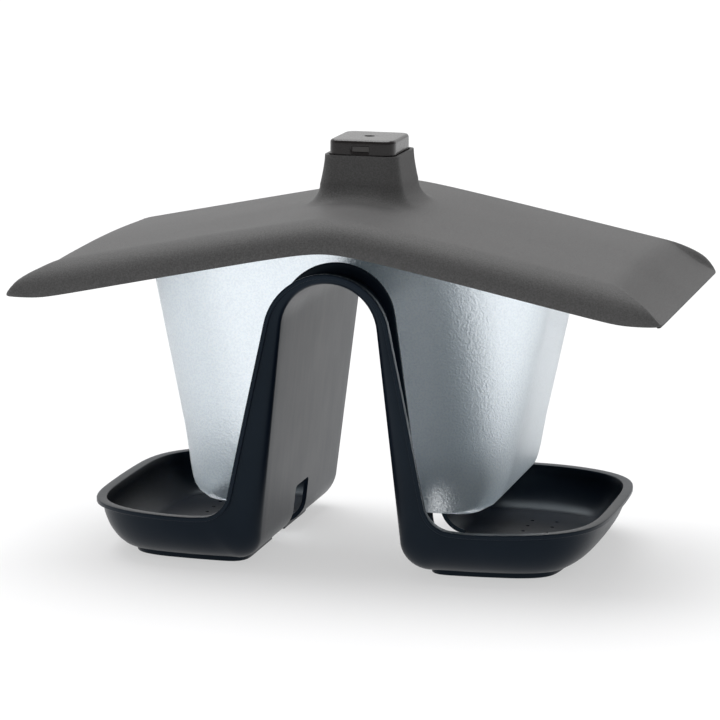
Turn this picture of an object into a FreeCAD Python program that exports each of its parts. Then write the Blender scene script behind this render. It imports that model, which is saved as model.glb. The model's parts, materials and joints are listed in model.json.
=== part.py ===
import FreeCAD, Part
import math
import os

# Twin-tray seed feeder: an arched saddle with a tray at each foot, a frosted hopper that stands
# on the arch, a gull-wing roof with a square chimney, and the hanger inside the chimney.
# Millimetres. Origin on the ground, midway between the feet. X is the width, -Y the front, +Z up.

# ---- saddle ----
wall = 2.0            # moulded wall of the saddle
footHeight = 3.0      # foot ring under each tray
rimTop = 25.0         # top of the tray rims
archOuterTop = 142.0  # top of the front and back lips over the arch
tunnelTop = 137.0     # ceiling of the tunnel
tunnelLegX = 32.9     # tunnel half width at the reference height
lipLegX = 49.1        # lip half width at the reference height
legRefZ = 20.0
tunnelLean = 0.107    # run per rise of the legs
lipLean = 0.2016
tunnelBend = 14.0     # bend radius from leg to tray, outside
lipBend = 16.0
lipY = 83.0           # lip plane, half depth of the saddle
# half depth and how far the wall has risen from floor (0) to lip (1)
outerRise = [(62.0, 0.0), (70.0, 0.1), (76.0, 0.42), (79.5, 0.8), (79.9, 0.91), (lipY, 0.93)]
innerRise = [(60.0, 0.0), (68.0, 0.1), (74.0, 0.42), (77.5, 0.8), (79.3, 1.15)]
# tray outline: half depth, rim reach and floor reach along X
trayOutline = [(0.0, 124.0, 104.0), (24.0, 123.4, 103.0), (40.0, 121.8, 100.0), (56.0, 117.2, 92.0),
               (62.0, 113.6, 84.0), (70.0, 106.2, 76.0), (76.0, 97.0, 72.0), (79.5, 88.0, 70.0),
               (79.9, 86.5, 70.0), (lipY, 76.0, 66.0)]
lipReach = 3.2        # lip stands out of the end wall
lipThick = 1.8
lipLastRise = 0.9     # sections risen further than this are all lip
openRise = 1.3        # the hollow is carried on above the lip
underLip = 0.93       # rise of the end wall's top edge
ribY = 60.0           # seat rib for the hopper, middle plane
ribThick = 2.0
ribTop = 144.3
ribLean = 0.143
ribLegX = 41.9
ribFootZ = 42.0
slotHalf = 13.0       # strap slot through each leg
slotTop = 30.0
slotReach = 47.0
drainRadius = 1.0
drainColumns = [73.0, 85.0]
drainRows = 8
drainPitch = 11.7
ringWidth = 3.0
# corners of the foot ring's front half
ringOutline = [(44.5, 61.0), (60.0, 61.0), (80.0, 57.5), (92.0, 50.0), (99.0, 38.0), (101.5, 20.0)]

# ---- hopper ----
hopperWall = 1.8
hopperY = 57.4
hopperBottom = 28.5
hopperTopZ = 158.0
# height, half width and corner radius of the outside
hopperSections = [(hopperBottom, 66.0, 14.0), (30.5, 70.5, 16.0), (34.5, 74.0, 18.0), (42.0, 76.8, 22.0),
                  (50.0, 78.4, 25.0), (hopperTopZ, 101.6, 28.0)]
seatGap = 0.4         # running room over the arch
roofGap = 0.5         # running room under the roof

# ---- roof ----
roofX = 154.5
roofY = 85.0
eaveApex = 154.4      # where the straight eave lines meet
eaveSlope = 0.215
eaveTipZ = 125.0
topApex = 170.6
topSlope = 0.205
apexHalf = 22.0       # half length of the rounded apex
roofWall = 2.0
rollRadius = 11.0
blockLow = 100.0      # blocks that the roof is cut from reach down to here
chimneyTop = 188.5
chimneyX = 17.8
chimneyY = 20.5
chimneyWall = 1.6
chimneyCorner = 5.5
# height, growth of the chimney's half width and half depth
flare = [(152.0, 13.0), (162.0, 8.0), (166.5, 4.5), (171.5, 2.6), (chimneyTop, 0.0)]

# ---- hanger ----
capX = 15.8
capY = 18.4
capBottom = 174.0
capTop = 195.6
capWall = 2.0
capCorner = 5.0
capRound = 3.2
cordHole = 2.5
windowX = 4.2
windowLow = 190.1
windowHigh = 192.9
catchPlay = 0.2
catchTravel = 1.2
tabSet = 0.3          # tab's face behind the cap's
armX = 6.0
armThick = 1.4
armLow = 177.0
tongueX = 4.0         # tongue that guides each catch in a slot of the post's head
tongueLow = 178.0
tongueThick = 1.6
tongueEnd = 9.0
slidePlay = 0.05
pinRadius = 1.5
pinZ = 182.0
pinSet = 0.5          # pin's ends behind the cap's sides
postX = 9.0
postY = 11.0
headX = 13.0
headY = 12.0
headLow = 176.0
forkX = 4.0           # gap in the head for the cord
forkY = 5.0
screwY = 6.0
screwRadius = 1.75
screwPlay = 0.2
screwLength = 13.0
screwHead = 3.5
screwHeadHeight = 2.4
screwSeat = 136.4     # underside of the crown beside the screws, less their play


def vec(x, y, z):
    return FreeCAD.Vector(x, y, z)


def box(x0, x1, y0, y1, z0, z1):
    return Part.makeBox(x1 - x0, y1 - y0, z1 - z0, vec(x0, y0, z0))


def line(a, b):
    return Part.LineSegment(a, b).toShape()


def arc(a, middle, b):
    return Part.Arc(a, middle, b).toShape()


def mix(a, b, f):
    return a + (b - a) * f


def archPath(floorZ, legX, lean, bend, top):
    """Right half of a floor-leg-arch outline as its key points in (x, z)."""
    angle = math.atan(lean)
    cosA, sinA = math.cos(angle), math.sin(angle)
    # crown arc tangent to the leg, centred on x = 0
    apexX = legX - lean * (top - legRefZ)
    radius = cosA * apexX / (1.0 - cosA * lean)
    crownZ = top - radius
    legTop = (radius * cosA, crownZ + radius * sinA)
    crownMid = (radius * math.sin(0.6), crownZ + radius * math.cos(0.6))
    # bend between the leg and the floor
    cornerX = legX + lean * (legRefZ - floorZ)
    turn = math.pi / 2 - angle
    tangent = bend * math.tan(turn / 2)
    legLow = (cornerX - tangent * sinA, floorZ + tangent * cosA)
    floorIn = (cornerX + tangent, floorZ)
    centre = (floorIn[0], floorZ + bend)
    half = -math.pi / 2 - turn / 2
    bendMid = (centre[0] + bend * math.cos(half), centre[1] + bend * math.sin(half))
    return {"crown": (0.0, top), "crownMid": crownMid, "legTop": legTop,
            "legLow": legLow, "bendMid": bendMid, "floorIn": floorIn}


def pathEdges(path, y, endX, floorZ):
    """Edges from the left end of the floor, over the arch, to the right end."""
    def at(point, side):
        return vec(side * point[0], y, point[1])
    edges = [line(vec(-endX, y, floorZ), at(path["floorIn"], -1))]
    edges.append(arc(at(path["floorIn"], -1), at(path["bendMid"], -1), at(path["legLow"], -1)))
    edges.append(line(at(path["legLow"], -1), at(path["legTop"], -1)))
    edges.append(arc(at(path["legTop"], -1), at(path["crownMid"], -1), at(path["crown"], 1)))
    edges.append(arc(at(path["crown"], 1), at(path["crownMid"], 1), at(path["legTop"], 1)))
    edges.append(line(at(path["legTop"], 1), at(path["legLow"], 1)))
    edges.append(arc(at(path["legLow"], 1), at(path["bendMid"], 1), at(path["floorIn"], 1)))
    edges.append(line(at(path["floorIn"], 1), vec(endX, y, floorZ)))
    return edges


def skinPath(rise, inset):
    """Floor-to-lip family of outlines: rise 0 is the tunnel side, 1 the lip."""
    path = archPath(mix(footHeight + inset, rimTop, rise), mix(tunnelLegX + inset, lipLegX, rise),
                    mix(tunnelLean, lipLean, rise), mix(tunnelBend - inset, lipBend, rise),
                    mix(tunnelTop + inset, archOuterTop, rise))
    return path, mix(footHeight + inset, rimTop, rise)


def reach(y, column):
    """Tray outline at half depth y: column 1 is the rim, 2 the floor."""
    y = abs(y)
    for low, high in zip(trayOutline, trayOutline[1:]):
        if y <= high[0] + 1e-6:
            return mix(low[column], high[column], (y - low[0]) / (high[0] - low[0]))
    return trayOutline[-1][column]


def saddleSection(y, rise, inset):
    """Closed outline of the saddle's block at depth y, between its skin and the lip path."""
    path, floorZ = skinPath(rise, inset)
    topPath, topZ = skinPath(openRise if inset else 1.0, 0.0)
    lipped = not inset and rise <= lipLastRise
    rim = reach(y, 1)
    rimX = rim - lipReach - inset * 0.4 if inset else rim
    underX = rimX - lipReach if lipped else rimX
    underZ = topZ - lipThick if lipped else mix(floorZ, topZ, underLip)
    floorX = mix(reach(y, 2), rim, rise) - inset
    edges = pathEdges(path, y, floorX, floorZ)
    for side in (1, -1):
        points = [vec(side * floorX, y, floorZ), vec(side * underX, y, underZ),
                  vec(side * rimX, y, mix(underZ, topZ, 0.2)), vec(side * rimX, y, topZ)]
        edges += [line(a, b) for a, b in zip(points, points[1:])]
    edges += pathEdges(topPath, y, rimX, topZ)
    return Part.Wire(Part.__sortEdges__(edges))


def saddleBlock(rises, inset):
    """Solid swept through depth sections, front to back."""
    level = [(y, 0.0) for y, rimX, floorX in trayOutline if 0 < y < rises[0][0]]
    depths = level + rises
    sections = [saddleSection(-y, rise, inset) for y, rise in reversed(depths)]
    sections += [saddleSection(0.0, 0.0, inset)]
    sections += [saddleSection(y, rise, inset) for y, rise in depths]
    return Part.makeLoft(sections, True, True)


def archSlab(path, y, depth):
    """Slab under a floor-leg-arch outline, closed a little below the floor."""
    endX = path["floorIn"][0] + 1.0
    corners = [vec(endX, y, footHeight), vec(endX, y, 0), vec(-endX, y, 0), vec(-endX, y, footHeight)]
    edges = pathEdges(path, y, endX, footHeight)
    edges += [line(a, b) for a, b in zip(corners, corners[1:])]
    return Part.Face(Part.Wire(Part.__sortEdges__(edges))).extrude(vec(0, depth, 0))


def seatRib(side):
    """Low rib across the channel that the hopper's wall stands behind."""
    y = side * ribY - ribThick / 2
    top = archPath(footHeight, ribLegX, ribLean, tunnelBend, ribTop)
    low = archPath(footHeight, tunnelLegX + wall / 2, tunnelLean, tunnelBend, tunnelTop + wall / 2)
    band = archSlab(top, y, ribThick).cut(archSlab(low, y, ribThick))
    return band.common(box(-lipY, lipY, -lipY, lipY, ribFootZ, ribTop + wall))


def footRing(side):
    """Ring foot under one tray, inside the floor's outline."""
    outline = [vec(side * x, -y, 0) for x, y in ringOutline]
    outline += [vec(side * x, y, 0) for x, y in reversed(ringOutline)]
    wire = Part.makePolygon(outline + [outline[0]])
    solid = Part.Face(wire).extrude(vec(0, 0, footHeight + wall / 2))
    inner = Part.Face(wire.makeOffset2D(-ringWidth)).extrude(vec(0, 0, footHeight))
    return solid.cut(inner)


def drainHoles(side):
    holes = []
    for x in drainColumns:
        for row in range(drainRows):
            y = (row - (drainRows - 1) / 2) * drainPitch
            holes.append(Part.makeCylinder(drainRadius, footHeight + 2 * wall, vec(side * x, y, 0.0)))
    return holes


def saddleBase():
    shape = saddleBlock(outerRise, 0.0).cut(saddleBlock(innerRise, wall))
    for side in (-1, 1):
        shape = shape.fuse(seatRib(side)).fuse(footRing(side))
        shape = shape.cut(drainHoles(side))
        hole = Part.makeCylinder(screwRadius + screwPlay, 4 * wall, vec(0, side * screwY, tunnelTop - wall))
        shape = shape.cut(hole)
    # one cutter goes through both legs
    shape = shape.cut(box(-slotReach, slotReach, -slotHalf, slotHalf, 0.0, slotTop))
    return shape.removeSplitter()


def roundedSection(halfX, halfY, radius, z):
    """Rounded rectangle wire at height z."""
    edges = []
    diag = radius * (1 - math.sqrt(0.5))
    for sx, sy in ((1, 1), (-1, 1), (-1, -1), (1, -1)):
        a = vec(sx * halfX, sy * (halfY - radius), z)
        b = vec(sx * (halfX - radius), sy * halfY, z)
        middle = vec(sx * (halfX - diag), sy * (halfY - diag), z)
        if sx * sy > 0:
            edges.append(arc(a, middle, b))
            edges.append(line(b, vec(-b.x, b.y, z)))
        else:
            edges.append(arc(b, middle, a))
            edges.append(line(a, vec(a.x, -a.y, z)))
    return Part.Wire(edges)


def hopperBlock(inset, beyond):
    """Loft through the hopper's sections; beyond carries the open ends on."""
    sections = []
    for z, halfX, radius in hopperSections:
        if z == hopperBottom:
            z -= beyond
        if z == hopperTopZ:
            z += beyond
        sections.append(roundedSection(halfX - inset, hopperY - inset, radius - inset, z))
    return Part.makeLoft(sections, True, True)


def gullLine(apex, slope, points, y):
    """Edges at depth y: the left wing's points, a rounded apex and the right wing's points."""
    low = apex - slope * apexHalf
    left = [vec(-x, y, z) for x, z in reversed(points)] + [vec(-apexHalf, y, low)]
    right = [vec(apexHalf, y, low)] + [vec(x, y, z) for x, z in points]
    edges = [line(a, b) for a, b in zip(left, left[1:])]
    edges.append(arc(left[-1], vec(0, y, apex - slope * apexHalf / 2), right[0]))
    return edges + [line(a, b) for a, b in zip(right, right[1:])]


def underGull(apex, slope, points, halfY):
    """Everything under a gull-wing surface, down to its last point's height, as a solid."""
    edges = gullLine(apex, slope, points, -halfY)
    endX, endZ = points[-1]
    edges.append(line(vec(endX, -halfY, endZ), vec(-endX, -halfY, endZ)))
    return Part.Face(Part.Wire(Part.__sortEdges__(edges))).extrude(vec(0, 2 * halfY, 0))


def hopper():
    lift = wall + seatGap
    shell = hopperBlock(0.0, 0.0).cut(hopperBlock(hopperWall, hopperWall))
    path = archPath(footHeight, tunnelLegX + lift, tunnelLean, tunnelBend, tunnelTop + lift)
    arch = archSlab(path, -hopperY, 2 * hopperY)
    apex = topApex - roofWall - roofGap
    under = underGull(apex, topSlope, [(roofX, apex - topSlope * roofX), (roofX, 0.0)], roofY)
    return shell.cut(arch).common(under)


def roofBlock(inset):
    """Gull-wing block with rolled top edges and corners; inset gives the inside."""
    endX = roofX - inset
    endY = roofY - inset
    apex = topApex - inset
    block = underGull(apex, topSlope, [(endX, apex - topSlope * endX), (endX, blockLow)], endY)
    rolled = [edge for edge in block.Edges if edge.CenterOfMass.z > blockLow + 1.0]
    rolled = [edge for edge in rolled if abs(abs(edge.CenterOfMass.y) - endY) < 1e-3 or
              abs(edge.CenterOfMass.x) > endX - 1e-3]
    return block.makeFillet(rollRadius - inset, rolled)


def eaveBlock():
    """Everything below the eave line, kept out of the roof."""
    tipX = (eaveApex - eaveTipZ) / eaveSlope
    far = roofX + roofWall
    points = [(tipX, eaveTipZ), (far, eaveTipZ), (far, blockLow)]
    return underGull(eaveApex, eaveSlope, points, roofY + roofWall)


def chimneyBlock(inset, beyond):
    """Flared chimney; inset gives its inside, carried on beyond the top."""
    sections = []
    for z, grow in flare:
        out = grow - inset
        corner = chimneyCorner + grow * 0.6 - inset
        level = z + beyond if z == chimneyTop else z
        sections.append(roundedSection(chimneyX + out, chimneyY + out, corner, level))
    return Part.makeLoft(sections, True, True)


def roofCanopy():
    outer = roofBlock(0.0).fuse(chimneyBlock(0.0, 0.0))
    inner = roofBlock(roofWall).fuse(chimneyBlock(chimneyWall, chimneyWall))
    return outer.cut(inner).cut(eaveBlock())


def crossHole(reachX):
    """Cutter for the cord pin's hole."""
    return Part.makeCylinder(pinRadius + slidePlay, 2 * reachX, vec(-reachX, 0, pinZ), vec(1, 0, 0))


def hangerCap():
    height = capTop - capBottom
    outer = Part.Face(roundedSection(capX, capY, capCorner, capBottom)).extrude(vec(0, 0, height))
    top = [edge for edge in outer.Edges if abs(edge.CenterOfMass.z - capTop) < 1e-3]
    outer = outer.makeFillet(capRound, top)
    inner = Part.Face(roundedSection(capX - capWall, capY - capWall, capCorner - capWall, capBottom))
    shape = outer.cut(inner.extrude(vec(0, 0, height - capWall)))
    shape = shape.cut(Part.makeCylinder(cordHole, 2 * capWall, vec(0, 0, capTop - 2 * capWall)))
    shape = shape.cut(box(-windowX, windowX, -capY, capY, windowLow, windowHigh))
    return shape.cut(crossHole(capX))


def latchCatch(side):
    """Press tab in the cap's window with its arm and tongue inside; side -1 is the front."""
    def slab(halfX, outerY, innerY, low, high):
        y0, y1 = sorted((side * outerY, side * innerY))
        return box(-halfX, halfX, y0, y1, low, high)
    armOuter = capY - capWall - catchPlay
    armInner = armOuter - armThick
    tab = slab(windowX - catchPlay, capY - tabSet, armInner, windowLow + catchPlay, windowHigh - catchPlay)
    arm = slab(armX, armOuter, armInner, armLow, windowHigh)
    tongue = slab(tongueX, armOuter, tongueEnd, tongueLow, tongueLow + tongueThick)
    return tab.fuse(arm).fuse(tongue).removeSplitter()


def cordPin():
    halfX = capX - pinSet
    return Part.makeCylinder(pinRadius, 2 * halfX, vec(-halfX, 0, pinZ), vec(1, 0, 0))


def hangerPost():
    """Post between the crown of the arch and the cap, with a fork for the cord pin."""
    crown = archPath(footHeight, tunnelLegX + wall, tunnelLean, tunnelBend, tunnelTop + wall)
    radius = crown["legTop"][0] / math.cos(math.atan(tunnelLean))
    saddle = Part.makeCylinder(radius, 2 * postY, vec(0, -postY, tunnelTop + wall - radius), vec(0, 1, 0))
    column = box(-postX, postX, -postY, postY, tunnelTop - wall, headLow).cut(saddle)
    headTop = capTop - capWall - roofGap
    shape = column.fuse(box(-headX, headX, -headY, headY, headLow, headTop))
    shape = shape.cut(box(-forkX, forkX, -forkY, forkY, headLow, headTop))
    shape = shape.cut(crossHole(headX))
    # guide slots for the catches' tongues, deep enough for their travel
    slotEnd = tongueEnd - catchTravel - catchPlay
    low = tongueLow - slidePlay
    high = tongueLow + tongueThick + slidePlay
    halfX = tongueX + slidePlay
    shape = shape.cut(box(-halfX, halfX, -headY, -slotEnd, low, high))
    shape = shape.cut(box(-halfX, halfX, slotEnd, headY, low, high))
    for y in (-screwY, screwY):
        shape = shape.cut(Part.makeCylinder(screwRadius, screwLength, vec(0, y, tunnelTop)))
    return shape.removeSplitter()


def postScrews():
    """Two identical pan-head screws up through the crown."""
    screws = []
    for y in (-screwY, screwY):
        shank = Part.makeCylinder(screwRadius, screwLength, vec(0, y, screwSeat))
        head = Part.makeCylinder(screwHead, screwHeadHeight, vec(0, y, screwSeat - screwHeadHeight))
        screws.append(shank.fuse(head).removeSplitter())
    return Part.makeCompound(screws)


def export(name, shape):
    if len(shape.Solids) == 1:
        shape = shape.Solids[0]
    state = "valid" if shape.isValid() else "INVALID"
    print(name, state, len(shape.Solids), "solid(s)", round(shape.Volume / 1000, 2), "cm3")
    shape.exportStep("parts/" + name + ".step")


os.makedirs("parts", exist_ok=True)
export("saddle_base", saddleBase())
export("hopper", hopper())
export("roof_canopy", roofCanopy())
export("hanger_cap", hangerCap())
export("catch_front", latchCatch(-1))
export("catch_back", latchCatch(1))
export("cord_pin", cordPin())
export("hanger_post", hangerPost())
export("post_screws", postScrews())
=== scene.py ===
import json
import math

import bpy
import numpy as np
from mathutils import Matrix, Vector


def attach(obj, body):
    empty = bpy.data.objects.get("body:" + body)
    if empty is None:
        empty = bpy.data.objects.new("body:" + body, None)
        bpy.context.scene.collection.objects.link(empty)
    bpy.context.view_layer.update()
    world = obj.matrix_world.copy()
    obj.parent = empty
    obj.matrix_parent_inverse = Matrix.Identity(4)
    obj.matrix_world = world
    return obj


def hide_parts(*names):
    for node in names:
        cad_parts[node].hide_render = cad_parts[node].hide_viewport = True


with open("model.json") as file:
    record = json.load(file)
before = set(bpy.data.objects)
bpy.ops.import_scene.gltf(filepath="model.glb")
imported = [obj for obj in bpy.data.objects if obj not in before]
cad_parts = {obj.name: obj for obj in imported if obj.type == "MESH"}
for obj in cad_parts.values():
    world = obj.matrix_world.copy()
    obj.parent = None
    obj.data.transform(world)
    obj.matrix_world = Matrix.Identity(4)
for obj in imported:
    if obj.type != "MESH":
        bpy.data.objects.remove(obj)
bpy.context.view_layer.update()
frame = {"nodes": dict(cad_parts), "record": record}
millimetre = 0.001
print("frame loaded")

class Wire:  # one output socket; sums on wires add Math nodes
    def __init__(self, graph, socket):
        self.graph = graph
        self.socket = socket

    def join(self, operation, first, second):
        return self.graph.node("ShaderNodeMath", {"operation": operation}, {0: first, 1: second})

    def __add__(self, other):
        return self.join("ADD", self, other)

    def __radd__(self, other):
        return self.join("ADD", other, self)

    def __sub__(self, other):
        return self.join("SUBTRACT", self, other)

    def __rsub__(self, other):
        return self.join("SUBTRACT", other, self)

    def __mul__(self, other):
        return self.join("MULTIPLY", self, other)

    def __rmul__(self, other):
        return self.join("MULTIPLY", other, self)


class Graph:  # the nodes of a material or of the world
    def __init__(self, owner):
        owner.use_nodes = True
        self.owner = owner
        self.tree = owner.node_tree
        self.tree.nodes.clear()

    def node(self, kind, settings=None, inputs=None, output=0):
        made = self.tree.nodes.new(kind)
        for key, value in (settings or {}).items():
            setattr(made, key, value)
        for key, value in (inputs or {}).items():
            if isinstance(value, Wire):
                self.tree.links.new(value.socket, made.inputs[key])
            else:
                made.inputs[key].default_value = value
        return Wire(self, made.outputs[output])

    def noise(self, scale, detail=2.0, stretch=(1, 1, 1), rough=0.5):
        coords = self.node("ShaderNodeTexCoord", output="Object")
        place = self.node("ShaderNodeMapping", {}, {"Vector": coords, "Scale": stretch})
        return self.node("ShaderNodeTexNoise", {}, {"Vector": place, "Scale": scale,
                                                    "Detail": detail, "Roughness": rough})

    def blend(self, factor, first, second):  # from one colour to another
        return self.node("ShaderNodeMix", {"data_type": "RGBA"},
                         {0: factor, 6: (*first, 1), 7: (*second, 1)}, output=2)

    def span(self, value, low, high):  # low to high becomes 0 to 1
        return self.node("ShaderNodeMapRange", {}, {"Value": value, "From Min": low, "From Max": high})

    def bump(self, height, distance, strength):
        return self.node("ShaderNodeBump", {}, {"Height": height, "Distance": distance,
                                                "Strength": strength})

    def end(self, kind, shader):
        self.tree.links.new(shader.socket, self.tree.nodes.new(kind).inputs["Surface"])
        return self.owner

    def finish(self, sockets):
        return self.end("ShaderNodeOutputMaterial", self.node("ShaderNodeBsdfPrincipled", {}, sockets))


def newGraph(name):
    return Graph(bpy.data.materials.new(name))


def times(colour, factor):
    return tuple(part * factor for part in colour)


def gridFaces(rows, columns, wrapRows=False, wrapColumns=False, flip=False):
    faces = []
    for row in range(rows if wrapRows else rows - 1):
        for column in range(columns if wrapColumns else columns - 1):
            nextRow = (row + 1) % rows
            nextColumn = (column + 1) % columns
            faces.append((row * columns + column, row * columns + nextColumn,
                          nextRow * columns + nextColumn, nextRow * columns + column))
    return [face[::-1] for face in faces] if flip else faces


def makeMesh(name, points, faces, material, weld=0.01):
    mesh = bpy.data.meshes.new(name)
    mesh.from_pydata([tuple(float(v) * millimetre for v in p) for p in points], [], faces)
    mesh.validate()
    piece = bpy.data.objects.new(name, mesh)
    bpy.context.scene.collection.objects.link(piece)
    mesh.materials.append(material)
    if weld:
        joined = piece.modifiers.new("weld", "WELD")
        joined.merge_threshold = weld * millimetre
        settle(piece)
    return piece


def settle(piece):  # what the modifiers make becomes the mesh
    graph = bpy.context.evaluated_depsgraph_get()
    mesh = bpy.data.meshes.new_from_object(piece.evaluated_get(graph))
    piece.modifiers.clear()
    piece.data = mesh


def thicken(piece, thickness, group=""):  # the wall grows away from the faces' fronts
    wall = piece.modifiers.new("wall", "SOLIDIFY")
    wall.thickness = thickness * millimetre
    wall.offset = -1
    wall.use_even_offset = True
    wall.use_quality_normals = True
    wall.vertex_group = group
    settle(piece)


def softenEdges(piece, width, angle=50, segments=3):
    edge = piece.modifiers.new("edge", "BEVEL")
    edge.width = width * millimetre
    edge.segments = segments
    edge.limit_method = "ANGLE"
    edge.angle_limit = math.radians(angle)
    edge.use_clamp_overlap = True
    settle(piece)


def shade(piece, angle=40):
    piece.data.shade_smooth()
    piece.data.set_sharp_from_angle(angle=math.radians(angle))


def cutAway(piece, cutters):
    for cutter in cutters:
        cut = piece.modifiers.new("cut", "BOOLEAN")
        cut.operation = "DIFFERENCE"
        cut.solver = "EXACT"
        cut.object = cutter
        settle(piece)


def drop(pieces):
    for piece in pieces:
        bpy.data.objects.remove(piece)


def keep(piece, body, node):
    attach(piece, body)
    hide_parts(node)


def smoothLine(points, count):  # evenly spaced points on a smooth line through the given ones
    knots = np.array(points, float)
    first = 2 * knots[0] - knots[1]
    last = 2 * knots[-1] - knots[-2]
    knots = np.vstack([first, knots, last])
    fine = []
    for k in range(1, len(knots) - 2):
        a, b, c, d = knots[k - 1:k + 3]
        for t in np.linspace(0, 1, 12, endpoint=False):
            fine.append(0.5 * (2 * b + (c - a) * t + (2 * a - 5 * b + 4 * c - d) * t ** 2
                               + (3 * b - 3 * c + d - a) * t ** 3))
    fine = np.array(fine + [knots[-2]])
    run = np.concatenate([[0], np.cumsum(np.linalg.norm(np.diff(fine, axis=0), axis=1))])
    where = np.linspace(0, run[-1], count)
    return np.stack([np.interp(where, run, fine[:, k]) for k in range(fine.shape[1])], axis=1)


def softAbs(value, rounding):
    return math.sqrt(value * value + rounding * rounding)


def blockLoop(cells):  # walk round a square's edge, cells to a side, as points in -1..1
    steps = [2 * k / cells - 1 for k in range(cells)]
    loop = [(t, -1) for t in steps] + [(1, t) for t in steps]
    return loop + [(-t, 1) for t in steps] + [(-1, -t) for t in steps]


def roundRect(fx, fy, halfX, halfY, radius):  # a square's edge point moved to a rounded rectangle
    x, y = fx * halfX, fy * halfY
    a = (abs(x) - (halfX - radius)) / radius
    b = (abs(y) - (halfY - radius)) / radius
    if a > 0 and b > 0:
        size = max(a, b) / math.hypot(a, b)
        x = math.copysign(halfX - radius + a * size * radius, x)
        y = math.copysign(halfY - radius + b * size * radius, y)
    return x, y


def slabCutter(name, outline, nearY, farY):  # solid from an (x, z) outline
    count = len(outline)
    area = sum(a[0] * b[1] - b[0] * a[1] for a, b in zip(outline, outline[1:] + outline[:1]))
    if area < 0:
        outline = outline[::-1]
    points = [(x, nearY, z) for x, z in outline] + [(x, farY, z) for x, z in outline]
    faces = [tuple(range(count)), tuple(range(2 * count - 1, count - 1, -1))]
    faces += [(k, count + k, count + (k + 1) % count, (k + 1) % count) for k in range(count)]
    return makeMesh(name, points, faces, None, weld=0)


def boxCutter(name, low, high):
    outline = [(low[0], low[2]), (high[0], low[2]), (high[0], high[2]), (low[0], high[2])]
    return slabCutter(name, outline, low[1], high[1])


# finishes: what each one is made of stands above the function that builds it
roofLook = {"colour": (0.083, 0.082, 0.082), "fleck": (0.118, 0.117, 0.117), "flecks": (0.35, 0.7),
            "grain": 1500, "cloud": 18, "roughness": 0.52, "uneven": 0.12, "specular": 0.1,
            "bump": (0.00022, 0.55)}


def roofFinish(look):
    graph = newGraph("roofPlastic")
    grain = graph.noise(look["grain"], 3)
    cloud = graph.noise(look["cloud"], 3)
    colour = graph.blend(graph.span(grain, *look["flecks"]), look["colour"], look["fleck"])
    return graph.finish({"Base Color": colour, "Specular IOR Level": look["specular"],
                         "Roughness": look["roughness"] + (cloud - 0.5) * look["uneven"],
                         "Normal": graph.bump(grain, *look["bump"])})


baseLook = {"colour": (0.0032, 0.0062, 0.0125), "worn": (0.0055, 0.0095, 0.017), "wear": (0.35, 0.7),
            "streak": 260, "streakStretch": (1, 1, 0.06), "cloud": 30, "fine": 2600,
            "roughness": 0.34, "uneven": 0.05, "cloudy": 0.08, "specular": 0.17,
            "tint": (0.7, 0.88, 1.0, 1.0), "bump": (0.00006, 0.35)}


def baseFinish(look):
    graph = newGraph("basePlastic")
    streak = graph.noise(look["streak"], 2, look["streakStretch"])
    cloud = graph.noise(look["cloud"], 3)
    fine = graph.noise(look["fine"], 2)
    colour = graph.blend(graph.span(cloud, *look["wear"]), look["colour"], look["worn"])
    rough = look["roughness"] + (streak - 0.5) * look["uneven"] + (cloud - 0.5) * look["cloudy"]
    return graph.finish({"Base Color": colour, "Roughness": rough, "Specular IOR Level": look["specular"],
                         "Specular Tint": look["tint"], "Normal": graph.bump(fine, *look["bump"])})


# the weak painted glow in the frosted wall stands for light scattered inside it
frostLook = {"colour": (0.955, 0.98, 1.0), "dull": 0.86, "dullSpan": (0.42, 0.58), "grain": 1050,
             "cloud": 24, "roughness": 0.3, "uneven": 0.1, "index": 1.18, "clearness": 0.96,
             "paintedGlow": (0.022, 0.028, 0.032, 1.0), "bump": (0.0005, 0.9),
             "edgeColour": (0.93, 0.96, 0.99), "edgeGrain": 315, "edgeRoughness": 0.06,
             "edgeIndex": 1.45, "edgeClearness": 0.9}


def frostFinish(look):
    graph = newGraph("hopperPlastic")
    grain = graph.noise(look["grain"], 3, rough=0.6)
    cloud = graph.noise(look["cloud"], 3)
    colour = graph.blend(graph.span(grain, *look["dullSpan"]), times(look["colour"], look["dull"]),
                         look["colour"])
    # the emission is a painted glow standing in for light scattered inside the frosted wall
    return graph.finish({"Base Color": colour, "IOR": look["index"],
                         "Roughness": look["roughness"] + (cloud - 0.5) * look["uneven"],
                         "Transmission Weight": look["clearness"],
                         "Emission Color": look["paintedGlow"], "Emission Strength": 1.0,
                         "Normal": graph.bump(grain, *look["bump"])})


def edgeFinish(look):  # the hopper's polished lower edge
    graph = newGraph("hopperEdge")
    grain = graph.noise(look["edgeGrain"], 2)
    return graph.finish({"Base Color": graph.blend(grain, look["edgeColour"], look["colour"]),
                         "Roughness": look["edgeRoughness"] + grain * look["edgeRoughness"],
                         "IOR": look["edgeIndex"], "Transmission Weight": look["edgeClearness"]})


capLook = {"colour": (0.007, 0.0048, 0.0045), "pale": 1.7, "paleSpan": (0.3, 0.7), "fine": 1800,
           "stretch": (1, 0.25, 1), "roughness": 0.24, "uneven": 0.2, "coat": 0.1,
           "coatRoughness": 0.12, "specular": 0.35, "bump": (0.00006, 0.4)}


def capFinish(look):
    graph = newGraph("capPlastic")
    fine = graph.noise(look["fine"], 2, look["stretch"])
    colour = graph.blend(graph.span(fine, *look["paleSpan"]), look["colour"],
                         times(look["colour"], look["pale"]))
    return graph.finish({"Base Color": colour, "Specular IOR Level": look["specular"],
                         "Roughness": look["roughness"] + (fine - 0.5) * look["uneven"],
                         "Coat Weight": look["coat"], "Coat Roughness": look["coatRoughness"],
                         "Normal": graph.bump(fine, *look["bump"])})


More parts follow.
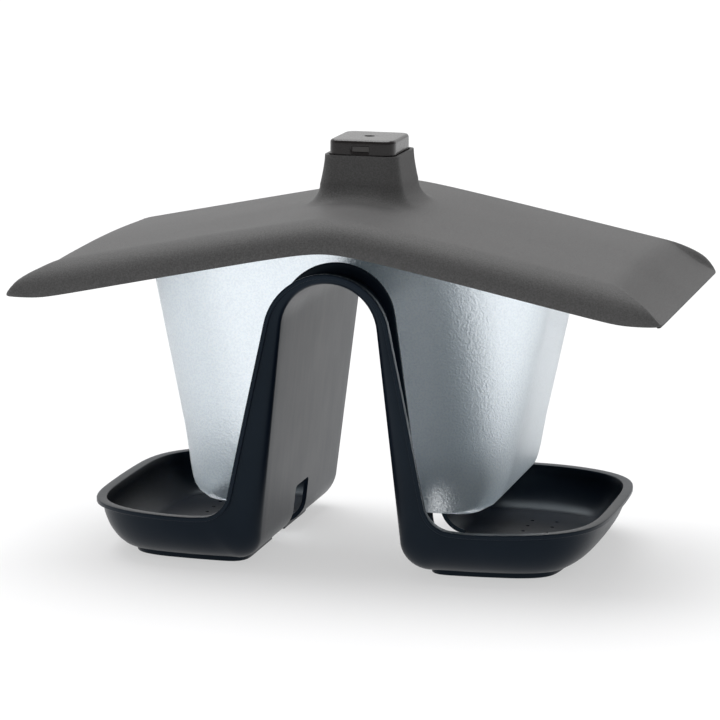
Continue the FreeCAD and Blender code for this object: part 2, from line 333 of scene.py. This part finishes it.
catchLook = {"colour": (0.05, 0.047, 0.045), "second": 1.4, "grain": 2200, "detail": 2,
             "stretch": (1, 1, 1), "roughness": 0.4, "uneven": 0.1, "metal": 0.0}
zincLook = {"colour": (0.62, 0.62, 0.6), "second": 0.75, "grain": 900, "detail": 3,
            "stretch": (1, 0.1, 1), "roughness": 0.34, "uneven": 0.2, "metal": 1.0}


def smallPartFinish(name, look):
    graph = newGraph(name)
    grain = graph.noise(look["grain"], look["detail"], look["stretch"])
    return graph.finish({"Base Color": graph.blend(grain, look["colour"],
                                                   times(look["colour"], look["second"])),
                         "Metallic": look["metal"],
                         "Roughness": look["roughness"] + (grain - 0.5) * look["uneven"]})


polishedEdge = edgeFinish(frostLook)
finishes = {"roof_plastic": roofFinish(roofLook), "base_plastic": baseFinish(baseLook),
            "hopper_plastic": frostFinish(frostLook), "cap_plastic": capFinish(capLook),
            "catch_plastic": smallPartFinish("catchPlastic", catchLook),
            "pin_steel": smallPartFinish("pinSteel", zincLook)}
print("finishes made")

# saddle, in millimetres; the outlines run from the arch to the end of the tray as (x, half depth)
saddle = {"wall": 2.0, "footHeight": 3.0, "rimTop": 25.0, "refZ": 20.0, "edge": 0.85,
          "tunnel": {"legX": 32.9, "lean": 0.107, "bend": 14.0, "top": 137.0},
          "lip": {"legX": 49.1, "lean": 0.2016, "bend": 16.0, "top": 142.0},
          "rib": {"legX": 41.9, "lean": 0.143, "bend": 14.0, "top": 144.3},
          "lipY": 83.0, "flange": 2.0, "trayFlange": 3.2, "fanX": 66.0,
          "crownEdgeY": 77.5, "legTopEdgeY": 76.5, "legLowEdgeY": 70.0, "floorEdgeY": 61.5, "fanEdgeY": 60.9,
          "rimOutline": [(66, 83), (76, 82.3), (87, 79.8), (98, 75.4), (107.5, 69.2), (115, 61),
                         (120, 50.5), (122.7, 37), (123.7, 20), (124, 0)],
          "floorOutline": [(66, 61.3), (77, 60.4), (88, 58.8), (96.5, 55.2), (101.5, 49),
                           (103.8, 38), (105, 20), (105.5, 0)],
          "flats": [0, 0.12, 0.3, 0.48, 0.64, 0.78, 0.9], "turnSteps": 12, "straight": 0.2,
          "slopeKnee": (0.12, 0.2604), "slopeFoot": 0.08,
          "crownSteps": 14, "legSteps": 16, "bendSteps": 10, "floorSteps": 3, "fanSteps": 22,
          "ribY": 60.0, "ribThick": 2.0, "ribFootZ": 19.0, "ribUnderlap": 0.6, "ribEdge": 0.45,
          "ringStart": [(44.0, 0), (44.0, -30), (44.0, -50), (45.6, -57), (51, -60.6)],
          "ringInsetX": 1.2, "ringInsetY": 0.8, "ringWidth": 2.6, "ringTop": 4.0, "ringEdge": 0.5,
          "ringPoints": 60,
          "slotHalf": 12.0, "slotTop": 27.0, "slotReach": 47.0, "slotCorner": 2.0,
          "drainColumns": (73.0, 85.0), "drainRows": 8, "drainPitch": 11.7, "drainRadius": 1.0,
          "drainSides": 14, "drainFrom": 1, "drainTo": 7}


# points on the arch from the crown down one leg, round the bend and out on the floor
def archPath(size, floorZ, grow=0.0):
    crownSteps, legSteps = saddle["crownSteps"], saddle["legSteps"]
    bendSteps, floorSteps = saddle["bendSteps"], saddle["floorSteps"]
    lean = size["lean"]
    tilt = math.atan(lean)
    legX = size["legX"] + grow
    top = size["top"] + grow
    bend = size["bend"] - grow
    reachX = legX - lean * (top - saddle["refZ"])
    radius = math.cos(tilt) * reachX / (1 - math.cos(tilt) * lean)
    crownZ = top - radius
    stations = []
    for k in range(crownSteps):
        turn = (math.pi / 2 - tilt) * k / crownSteps
        stations.append((radius * math.sin(turn), crownZ + radius * math.cos(turn)))
    legTop = (radius * math.cos(tilt), crownZ + radius * math.sin(tilt))
    cornerX = legX + lean * (saddle["refZ"] - floorZ)
    turn = math.pi / 2 - tilt
    tangent = bend * math.tan(turn / 2)
    legLow = (cornerX - tangent * math.sin(tilt), floorZ + tangent * math.cos(tilt))
    for k in range(legSteps):
        f = k / legSteps
        stations.append((legTop[0] + (legLow[0] - legTop[0]) * f, legTop[1] + (legLow[1] - legTop[1]) * f))
    centre = (cornerX + tangent, floorZ + bend)
    for k in range(bendSteps):
        angle = -math.pi / 2 - turn * (1 - k / bendSteps)
        stations.append((centre[0] + bend * math.cos(angle), centre[1] + bend * math.sin(angle)))
    for k in range(floorSteps + 1):
        f = k / floorSteps
        stations.append((centre[0] + (saddle["fanX"] - centre[0]) * f, floorZ))
    return stations


def edgeDepth(station):  # half depth where the flat of the channel turns into its front wall
    legTop = saddle["crownSteps"]
    legLow = legTop + saddle["legSteps"]
    floor = legLow + saddle["bendSteps"]
    return float(np.interp(station, [0, legTop, legLow, floor, 1000],
                           [saddle["crownEdgeY"], saddle["legTopEdgeY"], saddle["legLowEdgeY"],
                            saddle["floorEdgeY"], saddle["fanEdgeY"]]))


# a row of points across the channel: flat middle, a quarter turn up the wall, then the flange;
# straight pulls the turn towards a plain slope, as at the trays
def profile(middle, edge, out, up, flange, straight):
    row = [middle + (edge - middle) * f for f in saddle["flats"]]
    knee, kneeDepth = saddle["slopeKnee"]
    foot = saddle["slopeFoot"]
    for k in range(saddle["turnSteps"] + 1):
        f = k / saddle["turnSteps"]
        turn = math.pi / 2 * f
        circle = math.sin(turn)
        slope = float(np.interp(f, [0, knee, 1], [0, kneeDepth, 1]))
        across = circle + (slope - circle) * straight
        rise = 1 - math.cos(turn)
        rise += (max(0.0, f - foot) / (1 - foot) - rise) * straight
        row.append(edge + out * across + up * rise)
    wallTop = row[-1]
    return row + [wallTop + flange * 0.5, wallTop + flange]


def channelProfiles():  # rows for one quarter of the channel, from the crown to the tray's end
    size = saddle
    legEnd = size["crownSteps"] + size["legSteps"]
    skin = archPath(size["tunnel"], size["footHeight"])
    lip = archPath(size["lip"], size["rimTop"])
    rows = []
    for k, ((x, z), (lipX, lipZ)) in enumerate(zip(skin, lip)):
        rise = np.array([lipX - x, 0, lipZ - z])
        rise *= 1 - size["wall"] / np.linalg.norm(rise)
        edgeY = edgeDepth(k)
        share = min(1.0, max(0.0, (k - legEnd) / size["bendSteps"]))
        flange = size["flange"] + (size["trayFlange"] - size["flange"]) * share
        out = np.array([0, -(size["lipY"] - flange - edgeY), 0])
        rows.append(profile(np.array([x, 0, z]), np.array([x, -edgeY, z]), out, rise,
                            np.array([0, -flange, 0]), size["straight"] * share))
    rim = smoothLine(size["rimOutline"], size["fanSteps"] + 1)[1:]
    floor = smoothLine(size["floorOutline"], size["fanSteps"] + 1)[1:]
    middle = np.array([size["fanX"], 0, size["footHeight"]])
    up = np.array([0, 0, size["rimTop"] - size["wall"] - size["footHeight"]])
    for (rimX, rimY), (x, y) in zip(rim, floor):
        edge = np.array([x, -y, size["footHeight"]])
        out = np.array([rimX - x, -(rimY - y), 0])
        away = out / np.linalg.norm(out) * size["trayFlange"]
        rows.append(profile(middle, edge, out - away, up, away, size["straight"]))
    return rows


def makeChannel():
    quarter = np.array(channelProfiles())
    flipX, flipY = np.array([-1, 1, 1]), np.array([1, -1, 1])
    last = len(quarter) - 1
    loop = [quarter[k] for k in range(last + 1)]
    loop += [quarter[k] * flipY for k in range(last - 1, -1, -1)]
    loop += [quarter[k] * flipX * flipY for k in range(1, last + 1)]
    loop += [quarter[k] * flipX for k in range(last - 1, 0, -1)]
    channel = makeMesh("saddleBase", np.concatenate(loop),
                       gridFaces(len(loop), len(loop[0]), wrapRows=True, flip=True),
                       finishes["base_plastic"])
    thicken(channel, saddle["wall"])
    softenEdges(channel, saddle["edge"])
    return channel


def makeFootRing(side):
    top = saddle["ringTop"]
    end = [(x - saddle["ringInsetX"], -(y - saddle["ringInsetY"])) for x, y in saddle["floorOutline"]]
    outer = smoothLine(saddle["ringStart"] + end, saddle["ringPoints"])
    outer = np.concatenate([outer, outer[-2:0:-1] * np.array([1, -1])])
    ahead = np.roll(outer, -1, axis=0) - np.roll(outer, 1, axis=0)
    inward = np.stack([-ahead[:, 1], ahead[:, 0]], axis=1)
    inward /= np.linalg.norm(inward, axis=1)[:, None]
    inner = outer + inward * saddle["ringWidth"]
    points = []
    for (x, y), (innerX, innerY) in zip(outer, inner):
        points += [(side * x, y, 0), (side * x, y, top)]
        points += [(side * innerX, innerY, top), (side * innerX, innerY, 0)]
    ring = makeMesh("footRing" + ("Right" if side > 0 else "Left"), points,
                    gridFaces(len(outer), 4, wrapRows=True, wrapColumns=True, flip=side > 0),
                    finishes["base_plastic"])
    softenEdges(ring, saddle["ringEdge"])
    return ring


def makeSeatRib(side):
    top = archPath(saddle["rib"], saddle["footHeight"])
    low = archPath(saddle["tunnel"], saddle["footHeight"], saddle["wall"] - saddle["ribUnderlap"])
    pairs = [(a, b) for a, b in zip(top, low) if a[1] >= saddle["ribFootZ"]]
    pairs = [((-a[0], a[1]), (-b[0], b[1])) for a, b in pairs[:0:-1]] + pairs
    near = side * saddle["ribY"] - saddle["ribThick"] / 2
    far = near + saddle["ribThick"]
    points = []
    for (x, z), (lowX, lowZ) in pairs:
        points += [(lowX, near, lowZ), (x, near, z), (x, far, z), (lowX, far, lowZ)]
    faces = gridFaces(len(pairs), 4, wrapColumns=True)
    last = 4 * (len(pairs) - 1)
    faces += [(3, 2, 1, 0), (last, last + 1, last + 2, last + 3)]
    rib = makeMesh("seatRib" + ("Back" if side > 0 else "Front"), points, faces, finishes["base_plastic"])
    softenEdges(rib, saddle["ribEdge"])
    return rib


def makeDrainCutter():  # small upright cylinders, one for each drain hole
    points, faces = [], []
    sides = saddle["drainSides"]
    turns = [2 * math.pi * k / sides for k in range(sides)]
    radius = saddle["drainRadius"]
    for side in (-1, 1):
        for column in saddle["drainColumns"]:
            for row in range(saddle["drainRows"]):
                x = side * column
                y = (row - (saddle["drainRows"] - 1) / 2) * saddle["drainPitch"]
                ring = [len(points) + 2 * k for k in range(sides)]
                points += [(x + radius * math.cos(turn), y + radius * math.sin(turn), z)
                           for turn in turns for z in (saddle["drainFrom"], saddle["drainTo"])]
                faces += [tuple(ring[::-1]), tuple(k + 1 for k in ring)]
                faces += [(a, b, b + 1, a + 1) for a, b in zip(ring, ring[1:] + ring[:1])]
    return makeMesh("drainCutter", points, faces, None, weld=0)


def makeSaddle():
    reach, half = saddle["slotReach"], saddle["slotHalf"]
    slot = boxCutter("slotCutter", (-reach, -half, -2), (reach, half, saddle["slotTop"]))
    softenEdges(slot, saddle["slotCorner"])
    drains = makeDrainCutter()
    channel = makeChannel()
    cutAway(channel, [slot, drains])
    pieces = [channel]
    for side in (-1, 1):
        ring = makeFootRing(side)
        cutAway(ring, [slot])
        pieces += [ring, makeSeatRib(side)]
    drop([slot, drains])
    for piece in pieces:
        shade(piece)
        keep(piece, "base", "saddle_base")
    print("saddle made")


makeSaddle()

# hopper; its shape is height, half width and corner radius of the outside
hopper = {"wall": 1.8, "halfY": 57.4, "bottom": 28.5, "gap": 0.4, "edge": 0.5, "clearEdge": 1.1,
          "top": 166.2, "slope": 0.205, "apexRound": 10.0, "cells": 40,
          "lowRows": 12, "highRows": 25, "topRow": 160.0, "topGuess": 150.0, "topRounds": 6,
          "shape": [(28.5, 66.0, 13.0), (30.5, 70.4, 15.5), (34.5, 74.0, 18.0), (42.0, 76.8, 22.0),
                    (50.0, 78.6, 24.5), (60.0, 80.6, 26.0), (158.0, 101.6, 28.0)]}


def hopperSection(shape, z, fx, fy):  # a point of the outline at one height
    halfX, radius = (float(np.interp(z, shape[:, 0], shape[:, k])) for k in (1, 2))
    return roundRect(fx, fy, halfX, hopper["halfY"], radius)


def hopperTop(fx, fy):  # the top follows the roof, so height and outline are found by turns
    top = hopper["topGuess"]
    for turn in range(hopper["topRounds"]):
        x, y = hopperSection(np.array(hopper["shape"]), top, fx, fy)
        top = hopper["top"] - hopper["slope"] * softAbs(x, hopper["apexRound"])
    return top


def makeHopper():
    bottom, topRow = hopper["bottom"], hopper["topRow"]
    low, last = hopper["shape"][:-1], hopper["shape"][-1]
    fine = np.vstack([smoothLine(low, 60), [last]])
    heights = np.concatenate([smoothLine([(h, 0) for h, halfX, radius in low], hopper["lowRows"])[:, 0],
                              np.linspace(low[-1][0], topRow, hopper["highRows"] + 1)[1:]])
    loop = blockLoop(hopper["cells"])
    points = []
    for fx, fy in loop:
        stretch = (hopperTop(fx, fy) - bottom) / (topRow - bottom)
        for height in heights:
            z = bottom + (height - bottom) * stretch
            points.append((*hopperSection(fine, z, fx, fy), z))
    shell = makeMesh("hopperShell", points, gridFaces(len(loop), len(heights), wrapRows=True, flip=True),
                     finishes["hopper_plastic"])
    thicken(shell, hopper["wall"])
    outline = archPath(saddle["tunnel"], saddle["footHeight"], saddle["wall"] + hopper["gap"])
    outline = [(-x, z) for x, z in outline[:0:-1]] + outline
    outline = [(outline[0][0], -5)] + outline + [(outline[-1][0], -5)]
    arch = slabCutter("archCutter", outline, -hopper["halfY"] - 5, hopper["halfY"] + 5)
    cutAway(shell, [arch])
    drop([arch])
    softenEdges(shell, hopper["edge"], 60, 2)
    shade(shell)
    shell.data.materials.append(polishedEdge)
    for face in shell.data.polygons:  # the mould leaves the lower edge clear
        if face.center.z < (bottom + hopper["clearEdge"]) * millimetre:
            face.material_index = 1
    keep(shell, "hopper", "hopper")
    print("hopper made")


makeHopper()

# roof; its top and its lower edge each slope down to both ends from a rounded middle
roof = {"halfX": 154.5, "halfY": 85.0, "roll": 17.0, "endRoll": 27.0, "rollSteps": 12, "corner": 6.0,
        "wall": 2.0, "edge": 0.5, "straight": 2.6, "endStraight": 0.5, "endRidge": 0.2, "ridgeRound": 0.1,
        "top": 168.6, "topSlope": 0.205, "topRound": 12.0, "crown": 1.6, "crownHalf": 68.0,
        "eave": 154.4, "eaveSlope": 0.215, "eaveRound": 13.0, "tipZ": 125.0, "tipRound": 1.2,
        "chimneyX": 17.8, "chimneyY": 20.5, "chimneyTop": 188.5, "chimneyCorner": 5.5, "draft": 2.2,
        "flare": 9.0, "flareSteps": 10, "chimneySteps": 6, "chimneyWall": 1.6, "thinRows": 9,
        "blockX": 38.0, "blockY": 36.0, "blockCells": 24, "spacing": 5.0}


def panelHeight(x, y):
    return (roof["top"] - roof["topSlope"] * softAbs(x, roof["topRound"])
            + roof["crown"] * (1 - (min(abs(y), roof["crownHalf"]) / roof["crownHalf"]) ** 2))


def eaveHeight(x):
    line = roof["eave"] - roof["eaveSlope"] * softAbs(x, roof["eaveRound"])
    return roof["tipZ"] + 0.5 * ((line - roof["tipZ"]) + softAbs(line - roof["tipZ"], roof["tipRound"]))


def roofLines(half, roll, block):  # grid lines across half a roof, and how far round the roll
    turns = [math.pi / 2 * k / roof["rollSteps"] for k in range(roof["rollSteps"] + 1)]
    inner = half - roll
    cells = roof["blockCells"]
    steps = max(2, round((inner - block) / roof["spacing"]))
    lines = [(block * (2 * k / cells - 1), 0.0) for k in range(cells // 2, cells + 1)]
    lines += [(block + (inner - block) * k / steps, 0.0) for k in range(1, steps)]
    return lines + [(inner, math.sin(turn)) for turn in turns]


def mirrored(lines):
    return [(-place, turn) for place, turn in lines[:0:-1]] + lines


def rampDrop(share):
    def rise(place):
        return place - roof["endRidge"] + softAbs(place - roof["endRidge"], roof["ridgeRound"])
    return (rise(share) - rise(0)) / (rise(1) - rise(0))


def roofPoint(lineX, lineY):
    x, a = lineX
    y, b = lineY
    size = max(a, b)
    if a > 0 and b > 0:
        level = (a ** roof["corner"] + b ** roof["corner"]) ** (1 / roof["corner"])
        a, b = a * size / level, b * size / level
    x += math.copysign(a * roof["endRoll"], x)
    y += math.copysign(b * roof["roll"], y)
    top = panelHeight(x, y)
    low = eaveHeight(x)
    curve = 1 - math.sqrt(max(0.0, 1 - size * size))
    atEnd = min(1.0, 3 * max(0.0, a - 0.93 * b) / size) if size else 0.0
    # the sides roll right down; past a soft ridge the wing's end slopes straight to its edge
    curve += (rampDrop(size) - curve) * atEnd
    straight = roof["straight"] + (roof["endStraight"] - roof["straight"]) * atEnd
    return x, y, top - (top - low - straight) * curve


def inBlock(x, y):  # the gap in the wings where the chimney goes
    return abs(x) < roof["blockX"] - 1e-6 and abs(y) < roof["blockY"] - 1e-6


def layWings(across, deep, points, faces):
    index = {}
    for i, lineX in enumerate(across):
        for j, lineY in enumerate(deep):
            if not inBlock(lineX[0], lineY[0]):
                index[i, j] = len(points)
                points.append(roofPoint(lineX, lineY))
    for i in range(len(across) - 1):
        for j in range(len(deep) - 1):
            if not inBlock((across[i][0] + across[i + 1][0]) / 2, (deep[j][0] + deep[j + 1][0]) / 2):
                faces.append((index[i, j], index[i + 1, j], index[i + 1, j + 1], index[i, j + 1]))
    return index


def addRing(ring, row, points, faces, skirt=False):  # a band of faces from a ring to new points
    start = len(points)
    points += row
    for k in range(len(row)):
        n = (k + 1) % len(row)
        faces.append((ring[k], start + k, start + n, ring[n]) if skirt
                     else (ring[k], ring[n], start + n, start + k))
    return list(range(start, len(points)))


def squareLoop(startI, startJ, cellsI, cellsJ):  # grid places round a rectangle
    loop = [(startI + k, startJ) for k in range(cellsI)]
    loop += [(startI + cellsI, startJ + k) for k in range(cellsJ)]
    loop += [(startI + k, startJ + cellsJ) for k in range(cellsI, 0, -1)]
    return loop + [(startI, startJ + k) for k in range(cellsJ, 0, -1)]


def chimneyPoint(fx, fy, grow):
    return roundRect(fx, fy, roof["chimneyX"] + grow, roof["chimneyY"] + grow, roof["chimneyCorner"] + grow)


def chimneyRows():  # rings of points: across the gap, round the flare and up the chimney
    square = blockLoop(roof["blockCells"])
    rows = []
    for f in (0.35, 0.7):
        row = []
        for fx, fy in square:
            wideX, wideY = fx * roof["blockX"], fy * roof["blockY"]
            flareX, flareY = chimneyPoint(fx, fy, roof["draft"] + roof["flare"])
            x, y = wideX + (flareX - wideX) * f, wideY + (flareY - wideY) * f
            row.append((x, y, panelHeight(x, y)))
        rows.append(row)
    for k in range(roof["flareSteps"] + 1):
        turn = math.pi / 2 * k / roof["flareSteps"]
        row = []
        for fx, fy in square:
            x, y = chimneyPoint(fx, fy, roof["draft"] + roof["flare"] * (1 - math.sin(turn)))
            row.append((x, y, panelHeight(x, y) + roof["flare"] * (1 - math.cos(turn))))
        rows.append(row)
    foot = rows[-1]
    for k in range(1, roof["chimneySteps"] + 1):
        f = k / roof["chimneySteps"]
        grow = roof["draft"] * (1 - f) ** 1.5
        rows.append([(*chimneyPoint(fx, fy, grow), z + (roof["chimneyTop"] - z) * f)
                     for (fx, fy), (x, y, z) in zip(square, foot)])
    return rows


def makeRoof():
    across = mirrored(roofLines(roof["halfX"], roof["endRoll"], roof["blockX"]))
    deep = mirrored(roofLines(roof["halfY"], roof["roll"], roof["blockY"]))
    points, faces = [], []
    index = layWings(across, deep, points, faces)
    ring = [index[place] for place in squareLoop(0, 0, len(across) - 1, len(deep) - 1)]
    rollEnd = [points[k] for k in ring]
    for share in (0.5, 1.0):  # the skirt hangs straight down from the end of the roll
        row = [(x, y, z + (eaveHeight(x) - z) * share) for x, y, z in rollEnd]
        ring = addRing(ring, row, points, faces, skirt=True)
    cells = roof["blockCells"]
    startI = next(i for i, line in enumerate(across) if abs(line[0] + roof["blockX"]) < 1e-6)
    startJ = next(j for j, line in enumerate(deep) if abs(line[0] + roof["blockY"]) < 1e-6)
    ring = [index[place] for place in squareLoop(startI, startJ, cells, cells)]
    rows = chimneyRows()
    thinStart = len(points) + (len(rows) - roof["thinRows"]) * len(ring)
    for row in rows:
        ring = addRing(ring, row, points, faces)
    canopy = makeMesh("roofCanopy", points, faces, finishes["roof_plastic"], weld=0)
    group = canopy.vertex_groups.new(name="thickness")
    group.add(list(range(thinStart)), 1.0, "REPLACE")
    group.add(list(range(thinStart, len(points))), roof["chimneyWall"] / roof["wall"], "REPLACE")
    joined = canopy.modifiers.new("weld", "WELD")
    joined.merge_threshold = 0.01 * millimetre
    thicken(canopy, roof["wall"], "thickness")
    softenEdges(canopy, roof["edge"], 55)
    shade(canopy)
    keep(canopy, "roof", "roof_canopy")
    print("roof made")


makeRoof()

# hanger cap, a block open below with a window through front and back
cap = {"halfX": 15.75, "halfY": 18.35, "corner": 5.0, "bottom": 174.0, "top": 195.6, "round": 1.5,
       "wall": 2.0, "edge": 0.3, "cordHole": 2.5, "windowX": 4.2, "windowLow": 190.1,
       "windowHigh": 192.9, "windowCorner": 0.5, "cells": 16, "roundSteps": 8}


def makeCap():
    square = blockLoop(cap["cells"])
    rows = []
    for z in (cap["bottom"], cap["bottom"] + 8, cap["top"] - cap["round"] - 1):
        rows.append([(*roundRect(fx, fy, cap["halfX"], cap["halfY"], cap["corner"]), z) for fx, fy in square])
    for k in range(cap["roundSteps"] + 1):
        turn = math.pi / 2 * k / cap["roundSteps"]
        inset = cap["round"] * (1 - math.cos(turn))
        z = cap["top"] - cap["round"] * (1 - math.sin(turn))
        rows.append([(*roundRect(fx, fy, cap["halfX"] - inset, cap["halfY"] - inset,
                                 cap["corner"] - inset), z) for fx, fy in square])
    rim = rows[-1]
    for f in (0.3, 0.6, 0.85, 1.0):
        row = []
        for (fx, fy), (x, y, z) in zip(square, rim):
            spread = cap["cordHole"] / math.hypot(x, y)
            row.append((x + (x * spread - x) * f, y + (y * spread - y) * f, z))
        rows.append(row)
    block = makeMesh("hangerCap", sum(rows, []), gridFaces(len(rows), len(square), wrapColumns=True),
                     finishes["cap_plastic"])
    thicken(block, cap["wall"])
    window = boxCutter("windowCutter", (-cap["windowX"], -cap["halfY"] - 3, cap["windowLow"]),
                       (cap["windowX"], cap["halfY"] + 3, cap["windowHigh"]))
    softenEdges(window, cap["windowCorner"])
    cutAway(block, [window])
    drop([window])
    softenEdges(block, cap["edge"], 55, 2)
    shade(block)
    keep(block, "base", "hanger_cap")
    print("cap made")


makeCap()

# the small pieces stay as they come from the frame
for entry in frame["record"]["subparts"]:
    node = frame["nodes"][entry["node"]]
    node.data.materials.clear()
    node.data.materials.append(finishes[entry["material_slot"]])
print("carried-over pieces finished")

# floor, light and camera
studio = {"floor": (0.42, 0.42, 0.424), "glow": 0.52, "floorHalf": 6000.0,
          "frontLight": 0.35, "backLight": 0.92, "lightSpan": (-0.3, 0.95), "rightDim": 0.75,
          "backdrop": 1.5, "sunFrom": (-0.2, 0.35, 1.0), "sunPower": 2.65, "sunSpread": 50,
          "cameraPlace": (428.2, -1755.7, 421.3), "lookAt": (-4.0, 0.0, 87.8), "lens": 192.5, "roll": 0.4}


def addFloor():
    graph = newGraph("studioFloor")
    pale = graph.blend(graph.noise(3, 2), studio["floor"], times(studio["floor"], 0.99))
    material = graph.finish({"Base Color": pale, "Roughness": 0.9, "Specular IOR Level": 0.0,
                             "Emission Color": (1, 1, 1, 1), "Emission Strength": studio["glow"]})
    half = studio["floorHalf"]
    floor = makeMesh("studioFloor", [(-half, -half, 0), (half, -half, 0), (half, half, 0), (-half, half, 0)],
                     [(0, 1, 2, 3)], material, weld=0)


def addWorld():  # dim in front and on the right, bright behind; white where seen directly
    world = bpy.data.worlds.new("studio")
    bpy.context.scene.world = world
    graph = Graph(world)
    direction = graph.node("ShaderNodeTexCoord", output="Generated")
    right = graph.node("ShaderNodeSeparateXYZ", {}, {0: direction}, output="X")
    back = graph.node("ShaderNodeSeparateXYZ", {}, {0: direction}, output="Y")
    low, high = studio["lightSpan"]
    light = graph.node("ShaderNodeMapRange", {"interpolation_type": "SMOOTHSTEP"},
                       {"Value": back - right * studio["rightDim"], "From Min": low, "From Max": high,
                        "To Min": studio["frontLight"], "To Max": studio["backLight"]})
    direct = graph.node("ShaderNodeLightPath", output="Is Camera Ray")
    through = graph.node("ShaderNodeLightPath", output="Is Transmission Ray")
    seen = direct.join("MAXIMUM", direct, through * studio["backdrop"])
    unseen = seen.join("LESS_THAN", seen, 0.5)
    sky = graph.node("ShaderNodeBackground", {}, {"Color": (1, 1, 1, 1), "Strength": unseen * light + seen})
    graph.end("ShaderNodeOutputWorld", sky)


def addSun():
    light = bpy.data.lights.new("softSun", "SUN")
    light.energy = studio["sunPower"]
    light.angle = math.radians(studio["sunSpread"])
    sun = bpy.data.objects.new("softSun", light)
    sun.rotation_euler = Vector(studio["sunFrom"]).to_track_quat("Z", "Y").to_euler()
    bpy.context.scene.collection.objects.link(sun)


def addCamera():
    place = Vector(studio["cameraPlace"]) * millimetre
    target = Vector(studio["lookAt"]) * millimetre
    data = bpy.data.cameras.new("camera")
    data.lens = studio["lens"]
    data.sensor_width = 36
    data.clip_end = 50
    camera = bpy.data.objects.new("camera", data)
    turn = (target - place).to_track_quat("-Z", "Y").to_matrix().to_4x4()
    roll = Matrix.Rotation(math.radians(studio["roll"]), 4, "Z")
    camera.matrix_world = Matrix.Translation(place) @ turn @ roll
    bpy.context.scene.collection.objects.link(camera)
    bpy.context.scene.camera = camera


addFloor()
addWorld()
addSun()
addCamera()
bpy.context.scene.view_settings.view_transform = "Standard"
print("studio made")
